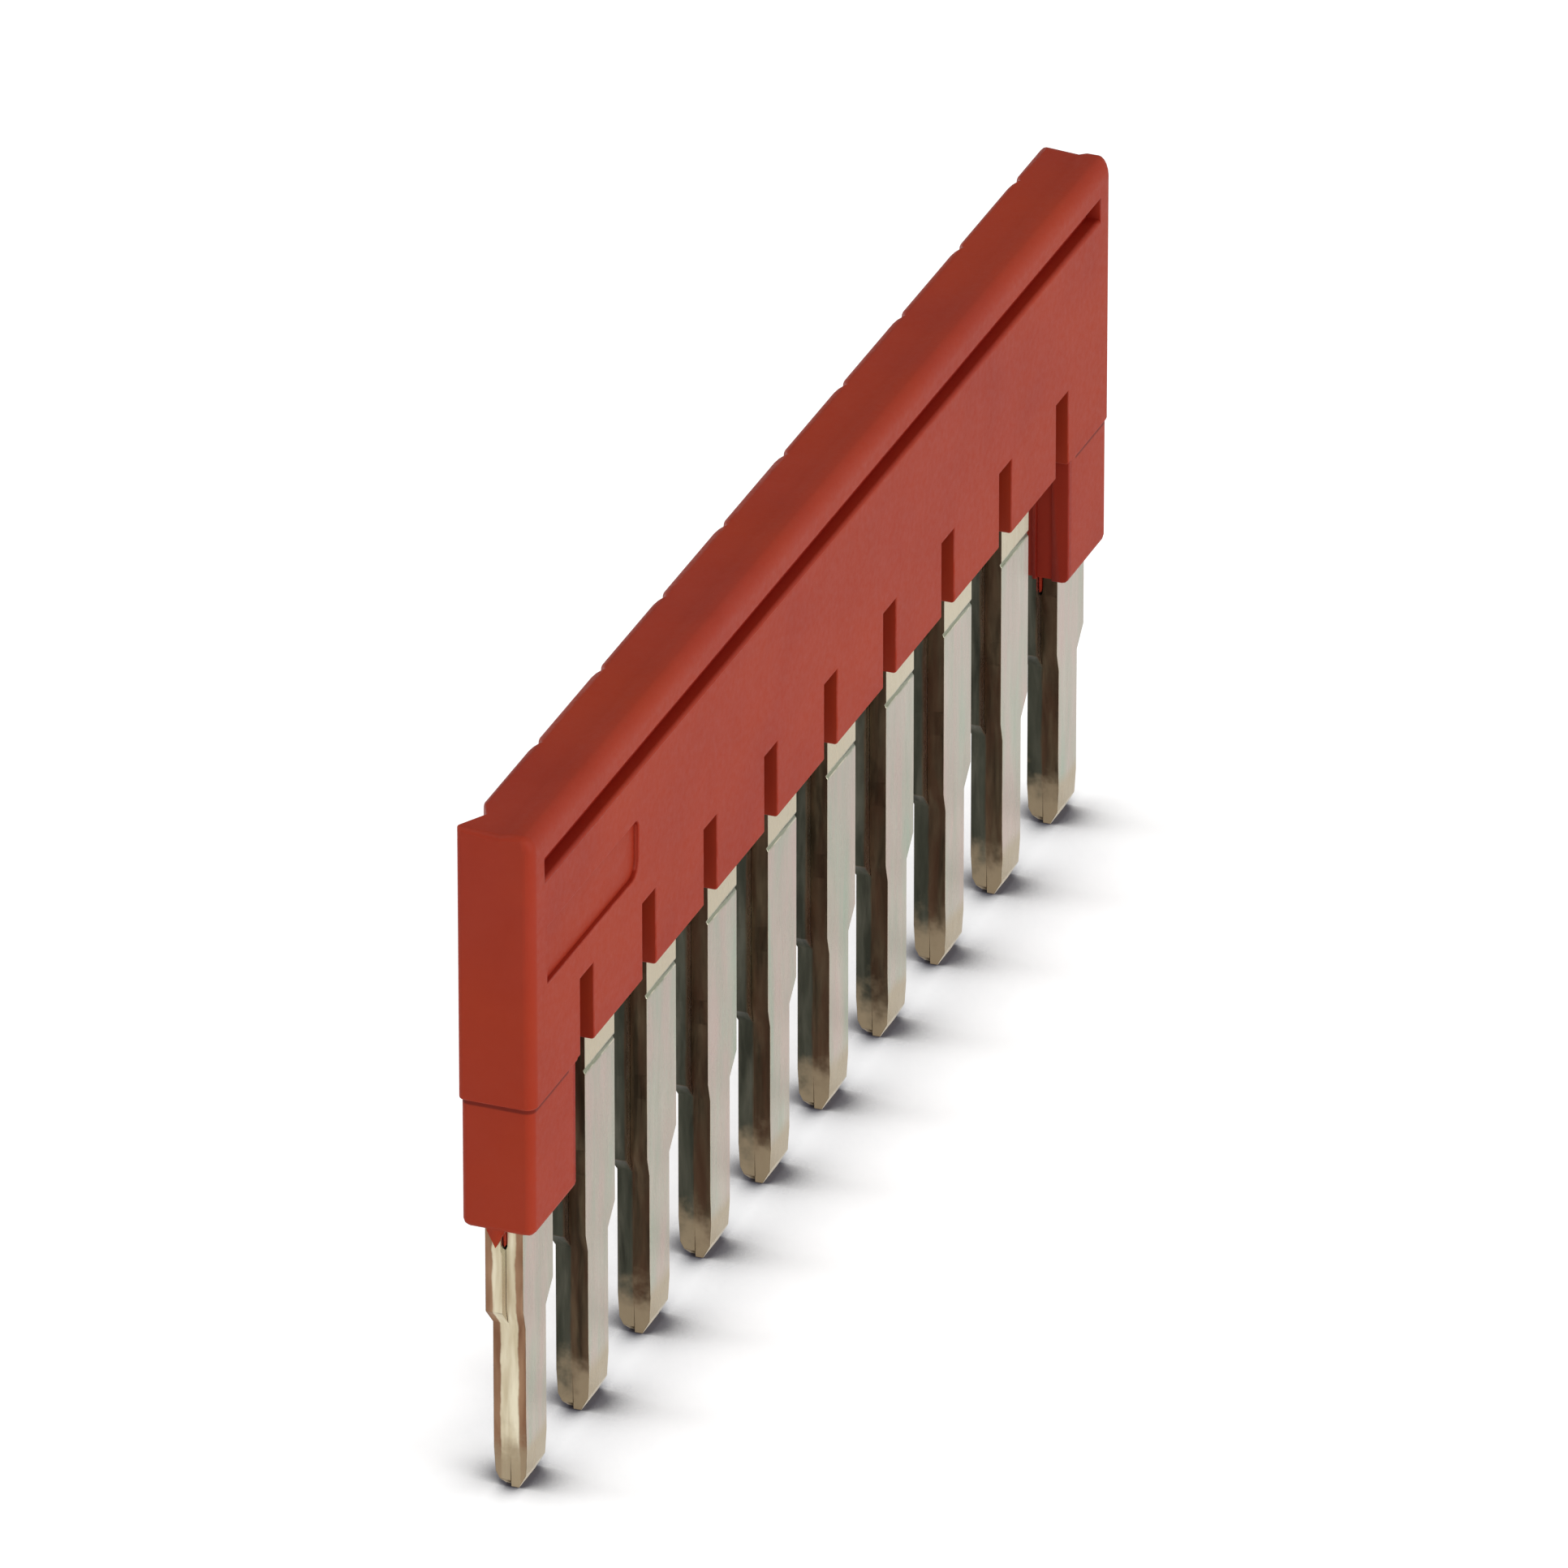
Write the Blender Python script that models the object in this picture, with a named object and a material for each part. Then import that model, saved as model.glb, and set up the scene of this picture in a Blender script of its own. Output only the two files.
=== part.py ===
"""Ten-pole plug-in jumper bar for rail-mounted terminal blocks, pitch 6.2 mm.

X runs along the bar with the marking field at its -X end, the grooved front faces -Y, +Z is up.
The bar stands upright on its contact tips at Z = 0, and its middle is at X = 0, Y = 0.
"""

import math

import bmesh
import bpy

MM = 0.001

# driving dimensions, in millimetres
POLES = 10
PITCH = 6.2

BAR_THICKNESS = 3.0
BODY_HEIGHT = 11.14
PIN_PROJECTION = 16.52
END_WALL = 0.47
END_ROUNDING = 0.25
END_FRONT_ROUNDING = 0.45
BOTTOM_EDGE_ROUNDING = 0.12
FRONT_RIM_ROUNDING = 0.5
FRONT_RIM_HEIGHT = 0.7
BACK_RIM_ROUNDING = 0.6
RIDGE_WIDTH = 0.95
RIDGE_RAMP = 0.35
TOP_DISH = 0.11

LEG_LENGTH = 5.3
LEG_PAST_PIN = 2.11
LEG_INSET = 0.08
LEG_ROUNDING = 0.3
NIB_THICKNESS = 0.26
NIB_HALF_WIDTH = 0.34
NIB_OFF_MIDDLE = 0.12
NIB_DROP = 0.7
NIB_CLEARANCE = 0.08

GROOVE_END_MARGIN = 1.21
GROOVE_BELOW_TOP = 1.32
GROOVE_HEIGHT = 0.9
GROOVE_DEPTH = 0.6
GROOVE_LIP_ROUNDING = 0.18

SLOT_WIDTH = 1.37
SLOT_HEIGHT = 3.2

FIELD_MARGIN = 1.43
FIELD_LENGTH = 9.05
FIELD_HEIGHT = 2.3
FIELD_ABOVE_BOTTOM = 4.6
FIELD_DEPTH = 0.2
FIELD_LOW_CORNER = 0.6
FIELD_HIGH_CORNER = 0.3

SCORE_NEAR_HALF = 0.55
SCORE_FAR_HALF = 0.78
SCORE_DEPTH = 0.45
SCORE_BEFORE_PIN = 1.05
END_SCORE_BEFORE_PIN = 0.75
END_SCORE_PAST_RIM = 0.02

LEAF_THICKNESS = 0.54
LEAF_GAP = 0.26
STRAIGHT_SIDE = 1.28
SHOULDER_SIDE = 1.68
SHOULDER_TOP_Z = 7.62
SHOULDER_DROP = 0.8
STRAIGHT_STEP = 0.22
SHOULDER_STEP = 0.72
TIP_LEAN = 0.15
TIP_LEAN_HEIGHT = 2.9
TIP_CORNER = 0.28
TIP_CHAMFER_DEPTH = 0.1
TIP_CHAMFER_HEIGHT = 1.6
TIP_BEVEL_DEPTH = 0.08
TIP_BEVEL_HEIGHT = 0.14
BREAK_LINE_DEPTH = 0.07
BREAK_LINE_HEIGHT = 0.24
BREAK_LINE_BELOW_BODY = 2.05

SPINE_HEIGHT = 3.7
SPINE_ROOF = 3.3
SPINE_END_MARGIN = 0.5
POCKET_CLEARANCE = 0.06
POCKET_END_CLEARANCE = 0.05

TONGUE_LENGTH = 2.9
TONGUE_DROP = 0.9
TONGUE_TIP_THICKNESS = 0.04
TONGUE_RELIEF = 0.02

# how many steps the bar's end rounding takes, and the shape of a bevel that follows a circle
END_STEPS = 5
CIRCLE_PROFILE = 0.5

# how far cutters run past the solid, how deep a joined shape is rooted, and how far a tangent is kept off it
CUT_OVERSHOOT = 0.5
JOIN_DEPTH = 0.5
TANGENT_LIFT = 0.001

BODY_BOTTOM_Z = PIN_PROJECTION
TOP_Z = BODY_BOTTOM_Z + BODY_HEIGHT
LEG_BOTTOM_Z = BODY_BOTTOM_Z - LEG_LENGTH
LAST_PIN_X = (POLES - 1) / 2 * PITCH
POCKET_END_X = LAST_PIN_X + SHOULDER_SIDE + POCKET_END_CLEARANCE
HALF_LENGTH = POCKET_END_X + END_WALL
LEG_INNER_X = LAST_PIN_X - LEG_PAST_PIN
FRONT_Y = -BAR_THICKNESS / 2
BACK_Y = BAR_THICKNESS / 2
LEAF_INNER_Y = LEAF_GAP / 2
LEAF_OUTER_Y = LEAF_INNER_Y + LEAF_THICKNESS
SPINE_TOP_Z = TOP_Z - SPINE_ROOF
SPINE_BOTTOM_Z = SPINE_TOP_Z - SPINE_HEIGHT
END_SCORE_X = -LAST_PIN_X - END_SCORE_BEFORE_PIN
END_SCORE_DEPTH = BACK_RIM_ROUNDING + END_SCORE_PAST_RIM


def pin_x(index):
    return index * PITCH - LAST_PIN_X


def clear_scene():
    for obj in list(bpy.data.objects):
        bpy.data.objects.remove(obj, do_unlink=True)


def make_material(name, colour, roughness, metallic):
    material = bpy.data.materials.new(name)
    material.use_nodes = True
    shader = material.node_tree.nodes["Principled BSDF"]
    shader.inputs["Base Color"].default_value = (*colour, 1.0)
    shader.inputs["Roughness"].default_value = roughness
    shader.inputs["Metallic"].default_value = metallic
    material.diffuse_color = (*colour, 1.0)
    return material


def along_x(y, z, x):
    return (x, y, z)


def along_y(x, z, y):
    return (x, y, z)


def along_z(x, y, z):
    return (x, y, z)


def skin(bm, rings):
    """Closes rings of equal length into one solid, with a flat cap on the first and the last."""
    bm.faces.new(rings[0])
    bm.faces.new(list(reversed(rings[-1])))
    for ring, following in zip(rings, rings[1:]):
        for i in range(len(ring)):
            j = (i + 1) % len(ring)
            bm.faces.new((ring[i], following[i], following[j], ring[j]))


def add_prism(bm, outline, place, start, end):
    """Extrudes a closed 2-D outline between two positions; place turns (u, v, w) into x, y, z."""
    skin(bm, [[bm.verts.new([c * MM for c in place(u, v, w)]) for u, v in outline] for w in (start, end)])


def rectangle(u0, v0, u1, v1):
    return [(u0, v0), (u1, v0), (u1, v1), (u0, v1)]


def arc(centre, radius, start_deg, end_deg, steps):
    points = []
    for i in range(steps + 1):
        angle = math.radians(start_deg + (end_deg - start_deg) * i / steps)
        points.append((centre[0] + radius * math.cos(angle), centre[1] + radius * math.sin(angle)))
    return points


def edge_waste(corner, outward, radius, steps):
    """Section of what a round takes off a square edge; outward holds the signs that point out of the solid."""
    centre = [corner[i] - outward[i] * radius for i in (0, 1)]
    far = [corner[i] + outward[i] * CUT_OVERSHOOT for i in (0, 1)]
    outline = [(far[0], centre[1])]
    for u, v in arc((0, 0), radius, 0, 90, steps):
        outline.append((centre[0] + outward[0] * u, centre[1] + outward[1] * v))
    outline[1] = (outline[1][0], outline[1][1] + outward[1] * TANGENT_LIFT)
    outline[-1] = (outline[-1][0] + outward[0] * TANGENT_LIFT, outline[-1][1])
    return outline + [(centre[0], far[1]), (far[0], far[1])]


def new_object(bm, name):
    bmesh.ops.recalc_face_normals(bm, faces=bm.faces)
    mesh = bpy.data.meshes.new(name)
    bm.to_mesh(mesh)
    bm.free()
    obj = bpy.data.objects.new(name, mesh)
    bpy.context.collection.objects.link(obj)
    return obj


def new_tool(bm, name):
    """A helper solid for a Boolean, which isn't a piece of the bar."""
    tool = new_object(bm, name)
    tool.hide_render = True
    tool.display_type = "WIRE"
    return tool


def boolean(obj, tool, operation):
    modifier = obj.modifiers.new(tool.name, "BOOLEAN")
    modifier.operation = operation
    modifier.solver = "EXACT"
    modifier.object = tool


def bevel_edges(bm, width, segments, chosen):
    edges = [edge for edge in bm.edges if chosen(edge)]
    bmesh.ops.bevel(bm, geom=edges, offset=width * MM, offset_type="OFFSET", segments=segments,
                    profile=CIRCLE_PROFILE, affect="EDGES", clamp_overlap=True)


def edge_in_plane(edge, axis, value):
    return all(abs(vert.co[axis] - value * MM) < 1e-7 for vert in edge.verts)


def finish_solid(obj, material, sharp_deg=25):
    """Keeps the result of the Booleans as the object's own mesh, shaded smooth on its rounded edges."""
    graph = bpy.context.evaluated_depsgraph_get()
    mesh = bpy.data.meshes.new_from_object(obj.evaluated_get(graph))
    tools = [modifier.object for modifier in obj.modifiers]
    obj.modifiers.clear()
    for tool in tools:
        bpy.data.objects.remove(tool)
    obj.data = mesh
    mesh.name = obj.name
    mesh.materials.clear()
    mesh.materials.append(material)
    mesh.shade_smooth()
    mesh.set_sharp_from_angle(angle=math.radians(sharp_deg))


def round_inset(radius, depth):
    """How far a rounded edge lies inside the square one, at this depth behind the end."""
    return radius - math.sqrt(radius ** 2 - max(radius - depth, 0) ** 2)


def body_profile(front_inset, inset):
    """Section of the body: upright sides, a rounded ridge over the front, a faintly dished top behind it."""
    front, back, top = FRONT_Y + front_inset, BACK_Y - inset, TOP_Z - inset
    rim_y, rim_z = FRONT_Y + FRONT_RIM_ROUNDING, TOP_Z - FRONT_RIM_HEIGHT
    ridge_y = FRONT_Y + RIDGE_WIDTH
    outline = [(back, BODY_BOTTOM_Z), (front, BODY_BOTTOM_Z)]
    for u, v in arc((0, 0), 1, 180, 90, 5):
        outline.append((rim_y + (rim_y - front) * u, rim_z + (top - rim_z) * v))
    outline += [(ridge_y, top), (ridge_y + RIDGE_RAMP, top - TOP_DISH), (back, top)]
    return outline


def housing_body():
    """The section runs from end to end and shrinks over the rounding of each end, most at the front."""
    depths = [END_FRONT_ROUNDING * (1 - math.cos(math.pi / 2 * i / END_STEPS)) for i in range(END_STEPS + 1)]
    sections = [(depth, depth - HALF_LENGTH) for depth in depths]
    sections += [(depth, HALF_LENGTH - depth) for depth in reversed(depths)]
    bm = bmesh.new()
    rings = []
    for depth, x in sections:
        profile = body_profile(round_inset(END_FRONT_ROUNDING, depth), round_inset(END_ROUNDING, depth))
        rings.append([bm.verts.new([c * MM for c in along_x(y, z, x)]) for y, z in profile])
    skin(bm, rings)
    return new_object(bm, "housing")


def rim_and_edge_cutter():
    """Rounds the back top edge from the end score on, and the two low edges between the legs."""
    bm = bmesh.new()
    rim = edge_waste((BACK_Y, TOP_Z), (1, 1), BACK_RIM_ROUNDING, 5)
    add_prism(bm, rim, along_x, END_SCORE_X + TANGENT_LIFT, HALF_LENGTH + CUT_OVERSHOOT)
    reach = LEG_INNER_X - BOTTOM_EDGE_ROUNDING / 4
    for side, face_y in ((-1, FRONT_Y), (1, BACK_Y)):
        low_edge = edge_waste((face_y, BODY_BOTTOM_Z), (side, -1), BOTTOM_EDGE_ROUNDING, 2)
        add_prism(bm, low_edge, along_x, -reach, reach)
    return new_tool(bm, "rim_and_edge_cutter")


def end_leg(side):
    """The longer leg that guards the outermost pin, set in a little from the body all round."""
    outer = side * (HALF_LENGTH - LEG_INSET)
    inner = side * LEG_INNER_X
    bm = bmesh.new()
    outline = rectangle(min(outer, inner), FRONT_Y + LEG_INSET, max(outer, inner), BACK_Y - LEG_INSET)
    add_prism(bm, outline, along_z, LEG_BOTTOM_Z, BODY_BOTTOM_Z + JOIN_DEPTH)
    upright_edges = ((END_FRONT_ROUNDING - LEG_INSET, FRONT_Y + LEG_INSET), (LEG_ROUNDING, BACK_Y - LEG_INSET))
    for radius, face_y in upright_edges:
        bevel_edges(bm, radius, 4, lambda edge: edge_in_plane(edge, 0, outer) and edge_in_plane(edge, 1, face_y))
    bevel_edges(bm, LEG_ROUNDING, 3, lambda edge: edge_in_plane(edge, 2, LEG_BOTTOM_Z)
                and not edge_in_plane(edge, 0, inner))
    return new_tool(bm, "near_leg" if side < 0 else "far_leg")


def leg_nib(side):
    """Small pointed nib under the end wall of a leg, a little off the bar's middle plane."""
    near_x = side * (LAST_PIN_X + SHOULDER_SIDE + NIB_CLEARANCE)
    far_x = near_x + side * NIB_THICKNESS
    middle = -side * NIB_OFF_MIDDLE
    left, right = middle - NIB_HALF_WIDTH, middle + NIB_HALF_WIDTH
    outline = [(left, LEG_BOTTOM_Z + JOIN_DEPTH), (left, LEG_BOTTOM_Z), (middle, LEG_BOTTOM_Z - NIB_DROP),
               (right, LEG_BOTTOM_Z), (right, LEG_BOTTOM_Z + JOIN_DEPTH)]
    bm = bmesh.new()
    add_prism(bm, outline, along_x, min(near_x, far_x), max(near_x, far_x))
    return new_tool(bm, "near_nib" if side < 0 else "far_nib")


def separator_tongues():
    """Thin wedges that keep the two leaves of each pin apart and show just under the plastic."""
    bm = bmesh.new()
    root = LEAF_INNER_Y - POCKET_CLEARANCE - TONGUE_RELIEF
    tip = TONGUE_TIP_THICKNESS / 2
    for index in range(POLES):
        bottom = LEG_BOTTOM_Z if index in (0, POLES - 1) else BODY_BOTTOM_Z
        outline = [(-root, bottom + JOIN_DEPTH), (-root, bottom), (-tip, bottom - TONGUE_DROP),
                   (tip, bottom - TONGUE_DROP), (root, bottom), (root, bottom + JOIN_DEPTH)]
        add_prism(bm, outline, along_x, pin_x(index) - TONGUE_LENGTH / 2, pin_x(index) + TONGUE_LENGTH / 2)
    return new_tool(bm, "separator_tongues")


def score_cutter():
    """Upright V scores in the back, one before each pin; the first is deeper and runs out to the bar's end."""
    bm = bmesh.new()
    out = BACK_Y + CUT_OVERSHOOT
    for index in range(POLES):
        apex_x, depth = pin_x(index) - SCORE_BEFORE_PIN, SCORE_DEPTH
        left, right = apex_x - SCORE_NEAR_HALF, apex_x + SCORE_FAR_HALF
        if index == 0:
            apex_x, depth = END_SCORE_X, END_SCORE_DEPTH
            left, right = END_ROUNDING - HALF_LENGTH, apex_x + SCORE_NEAR_HALF + SCORE_FAR_HALF
        outline = [(left, BACK_Y), (apex_x, BACK_Y - depth), (right, BACK_Y), (right, out), (left, out)]
        add_prism(bm, outline, along_z, BODY_BOTTOM_Z - CUT_OVERSHOOT, TOP_Z + CUT_OVERSHOOT)
    return new_tool(bm, "score_cutter")


def groove_cutter():
    """Long grip groove under the front rim: a sharp ledge above it, a flat floor and a rounded lip below."""
    ledge = TOP_Z - GROOVE_BELOW_TOP
    floor = ledge - GROOVE_HEIGHT
    lip = GROOVE_LIP_ROUNDING
    front, back = FRONT_Y - CUT_OVERSHOOT, FRONT_Y + GROOVE_DEPTH
    outline = [(front, ledge), (back, ledge), (back, floor)]
    outline += arc((FRONT_Y + lip, floor - lip), lip, 90, 180, 4)
    outline[-1] = (FRONT_Y - TANGENT_LIFT, floor - lip)
    outline.append((front, floor - lip))
    bm = bmesh.new()
    reach = HALF_LENGTH - GROOVE_END_MARGIN
    add_prism(bm, outline, along_x, -reach, reach)
    return new_tool(bm, "groove_cutter")


def field_cutter():
    """Shallow marking field near the -X end, with round corners on its inner side."""
    left = FIELD_MARGIN - HALF_LENGTH
    right = left + FIELD_LENGTH
    low = BODY_BOTTOM_Z + FIELD_ABOVE_BOTTOM
    high = low + FIELD_HEIGHT
    outline = [(left, high), (left, low)]
    outline += arc((right - FIELD_LOW_CORNER, low + FIELD_LOW_CORNER), FIELD_LOW_CORNER, -90, 0, 4)
    outline += arc((right - FIELD_HIGH_CORNER, high - FIELD_HIGH_CORNER), FIELD_HIGH_CORNER, 0, 90, 3)
    bm = bmesh.new()
    add_prism(bm, outline, along_y, FRONT_Y - CUT_OVERSHOOT, FRONT_Y + FIELD_DEPTH)
    return new_tool(bm, "field_cutter")


def pocket_cutter():
    """Two long pockets, one for each contact comb, open along the underside."""
    bm = bmesh.new()
    near, far = LEAF_INNER_Y - POCKET_CLEARANCE, LEAF_OUTER_Y + POCKET_CLEARANCE
    for low_y, high_y in ((-far, -near), (near, far)):
        outline = rectangle(low_y, LEG_BOTTOM_Z - CUT_OVERSHOOT, high_y, SPINE_TOP_Z + POCKET_CLEARANCE)
        add_prism(bm, outline, along_x, -POCKET_END_X, POCKET_END_X)
    return new_tool(bm, "pocket_cutter")


def slot_cutter():
    """Slots midway between the pins, cut through the front wall into its pocket and open downwards."""
    bm = bmesh.new()
    pocket_middle = -(LEAF_INNER_Y + LEAF_THICKNESS / 2)
    for index in range(POLES - 1):
        middle = pin_x(index) + PITCH / 2
        outline = rectangle(middle - SLOT_WIDTH / 2, BODY_BOTTOM_Z - CUT_OVERSHOOT,
                            middle + SLOT_WIDTH / 2, BODY_BOTTOM_Z + SLOT_HEIGHT)
        add_prism(bm, outline, along_y, FRONT_Y - CUT_OVERSHOOT, pocket_middle)
    return new_tool(bm, "slot_cutter")


def build_housing(material):
    housing = housing_body()
    steps = [(rim_and_edge_cutter(), "DIFFERENCE"), (score_cutter(), "DIFFERENCE"),
             (end_leg(-1), "UNION"), (end_leg(1), "UNION"),
             (groove_cutter(), "DIFFERENCE"), (field_cutter(), "DIFFERENCE"),
             (pocket_cutter(), "DIFFERENCE"), (slot_cutter(), "DIFFERENCE"),
             (separator_tongues(), "UNION"), (leg_nib(-1), "UNION"), (leg_nib(1), "UNION")]
    for tool, operation in steps:
        boolean(housing, tool, operation)
    finish_solid(housing, material)


def leaf_outline(middle):
    """One contact leaf seen from the front, from its right side at the spine, down and back up to the left."""
    shoulder_low = SHOULDER_TOP_Z - SHOULDER_DROP
    right, left = SHOULDER_SIDE, -STRAIGHT_SIDE
    low_right, low_left = right - SHOULDER_STEP, left + STRAIGHT_STEP
    outline = [(right, SPINE_BOTTOM_Z), (right, SHOULDER_TOP_Z), (low_right, shoulder_low),
               (low_right, TIP_CORNER), (low_right - TIP_CORNER, 0), (low_left + TIP_LEAN, 0),
               (low_left, TIP_LEAN_HEIGHT), (low_left, shoulder_low), (left, SHOULDER_TOP_Z),
               (left, SPINE_BOTTOM_Z)]
    return [(middle + x, z) for x, z in outline]


def comb_blank():
    """A stamped strip: a spine that bridges the poles and one leaf for each of them."""
    spine_end = LAST_PIN_X + SHOULDER_SIDE - SPINE_END_MARGIN
    outline = [(-spine_end, SPINE_TOP_Z), (spine_end, SPINE_TOP_Z)]
    for index in reversed(range(POLES)):
        outline += leaf_outline(pin_x(index))
    bm = bmesh.new()
    add_prism(bm, outline, along_y, -LEAF_OUTER_Y, -LEAF_INNER_Y)
    return bm


def comb_cutter():
    """The coined and bevelled foot of the leaves and the break line across them, both on the outer face."""
    reach = HALF_LENGTH + CUT_OVERSHOOT
    outer = -LEAF_OUTER_Y
    out = outer - CUT_OVERSHOOT
    slope = TIP_CHAMFER_DEPTH / TIP_CHAMFER_HEIGHT
    bm = bmesh.new()
    bevel_y = outer + slope * (TIP_CHAMFER_HEIGHT - TIP_BEVEL_HEIGHT)
    bevel_run = TIP_BEVEL_DEPTH / TIP_BEVEL_HEIGHT * (TIP_BEVEL_HEIGHT + CUT_OVERSHOOT)
    foot = [(out, TIP_CHAMFER_HEIGHT + CUT_OVERSHOOT / slope), (out, -CUT_OVERSHOOT),
            (bevel_y + bevel_run, -CUT_OVERSHOOT), (bevel_y, TIP_BEVEL_HEIGHT)]
    add_prism(bm, foot, along_x, -reach, reach)
    line_z = BODY_BOTTOM_Z - BREAK_LINE_BELOW_BODY
    high, low = line_z + BREAK_LINE_HEIGHT / 2, line_z - BREAK_LINE_HEIGHT / 2
    line_out = outer - BREAK_LINE_DEPTH
    line = [(line_out, high), (outer, high), (outer + BREAK_LINE_DEPTH, line_z), (outer, low), (line_out, low)]
    add_prism(bm, line, along_x, -reach, reach)
    return new_tool(bm, "comb_cutter")


def build_combs(material):
    """Both combs are one stamping; the rear one is turned half round, so its shoulders point the other way."""
    front = new_object(comb_blank(), "front_contact_comb")
    boolean(front, comb_cutter(), "DIFFERENCE")
    finish_solid(front, material)
    rear = bpy.data.objects.new("rear_contact_comb", front.data)
    bpy.context.collection.objects.link(rear)
    rear.rotation_euler = (0, 0, math.pi)


def build():
    clear_scene()
    red = make_material("moulded_red", (0.42, 0.095, 0.06), 0.45, 0.0)
    tin = make_material("tinned_copper", (0.58, 0.54, 0.48), 0.32, 1.0)
    build_housing(red)
    build_combs(tin)


build()
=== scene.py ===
import math

import bmesh
import bpy
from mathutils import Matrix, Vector


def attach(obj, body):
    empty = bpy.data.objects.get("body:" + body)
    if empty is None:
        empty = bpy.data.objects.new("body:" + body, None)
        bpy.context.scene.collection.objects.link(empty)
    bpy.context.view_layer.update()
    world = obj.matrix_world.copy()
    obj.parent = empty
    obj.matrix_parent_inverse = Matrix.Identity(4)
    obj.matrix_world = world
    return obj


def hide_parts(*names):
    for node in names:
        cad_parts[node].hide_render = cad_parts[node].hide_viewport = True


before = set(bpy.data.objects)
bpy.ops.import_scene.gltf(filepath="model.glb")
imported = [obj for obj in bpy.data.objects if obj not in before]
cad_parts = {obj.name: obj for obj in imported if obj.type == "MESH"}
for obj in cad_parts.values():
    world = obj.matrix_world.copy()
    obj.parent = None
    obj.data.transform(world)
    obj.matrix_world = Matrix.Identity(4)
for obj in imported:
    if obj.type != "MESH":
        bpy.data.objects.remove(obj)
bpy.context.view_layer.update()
print("frame loaded:", ", ".join(sorted(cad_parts)))

mm = 0.001


# small helpers for node trees

def addNode(tree, kind, label, x, y, **settings):
    node = tree.nodes.new(kind)
    node.name = node.label = label
    node.location = (x, y)
    for key, value in settings.items():
        setattr(node, key, value)
    return node


def setInputs(node, values):
    for socket, value in values.items():
        node.inputs[socket].default_value = value


def newMaterial(name):
    material = bpy.data.materials.new(name)
    material.use_nodes = True
    material.node_tree.nodes.clear()
    return material, material.node_tree


def newGroup(name, inputs, outputs):
    group = bpy.data.node_groups.new(name, "ShaderNodeTree")
    for label in inputs:
        kind = "NodeSocketVector" if label in ("Coordinates", "Stretch") else "NodeSocketFloat"
        group.interface.new_socket(label, in_out="INPUT", socket_type=kind)
    for label in outputs:
        group.interface.new_socket(label, in_out="OUTPUT", socket_type="NodeSocketFloat")
    groupIn = addNode(group, "NodeGroupInput", "inputs", -900, 0)
    groupOut = addNode(group, "NodeGroupOutput", "outputs", 900, 0)
    return group, groupIn.outputs, groupOut.inputs


def placeGroup(tree, group, label, x, y, coordinates, values):
    node = addNode(tree, "ShaderNodeGroup", label, x, y, node_tree=group)
    setInputs(node, values)
    tree.links.new(coordinates, node.inputs["Coordinates"])
    return node


def mixColour(tree, label, x, y, first, second, share):
    node = addNode(tree, "ShaderNodeMix", label, x, y, data_type="RGBA")
    for socket, value in ((6, first), (7, second)):
        if isinstance(value, tuple):
            node.inputs[socket].default_value = (*value, 1)
        else:
            tree.links.new(value, node.inputs[socket])
    tree.links.new(share, node.inputs[0])
    return node.outputs[2]


# node groups that more than one finish uses

noiseMiddle = 0.5  # the noise runs from 0 to 1


def makeCloudGroup():
    # soft blotches, and a second set of them for a tint
    group, given, made = newGroup("softClouds", ["Coordinates", "Stretch", "Scale", "Contrast"],
                                  ["Clouds", "Tint"])
    stretch = addNode(group, "ShaderNodeVectorMath", "stretch", -650, 120, operation="MULTIPLY")
    group.links.new(given["Coordinates"], stretch.inputs[0])
    group.links.new(given["Stretch"], stretch.inputs[1])
    noise = addNode(group, "ShaderNodeTexNoise", "large blotches", -450, 120)
    setInputs(noise, {"Detail": 3.0, "Roughness": 0.55, "Distortion": 0.3})
    group.links.new(stretch.outputs[0], noise.inputs["Vector"])
    group.links.new(given["Scale"], noise.inputs["Scale"])
    parts = addNode(group, "ShaderNodeSeparateColor", "channels", -250, -60)
    group.links.new(noise.outputs["Color"], parts.inputs[0])
    for label, value, y in (("Clouds", noise.outputs["Fac"], 120), ("Tint", parts.outputs["Blue"], -120)):
        centred = addNode(group, "ShaderNodeMath", "centre " + label, 0, y, operation="SUBTRACT")
        centred.inputs[1].default_value = noiseMiddle
        group.links.new(value, centred.inputs[0])
        spread = addNode(group, "ShaderNodeMath", "contrast " + label, 250, y, operation="MULTIPLY_ADD",
                         use_clamp=True)
        spread.inputs[2].default_value = noiseMiddle
        group.links.new(centred.outputs[0], spread.inputs[0])
        group.links.new(given["Contrast"], spread.inputs[1])
        group.links.new(spread.outputs[0], made[label])
    return group


grainSettings = {"finerBy": 3.7, "fineShare": 0.4}


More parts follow.
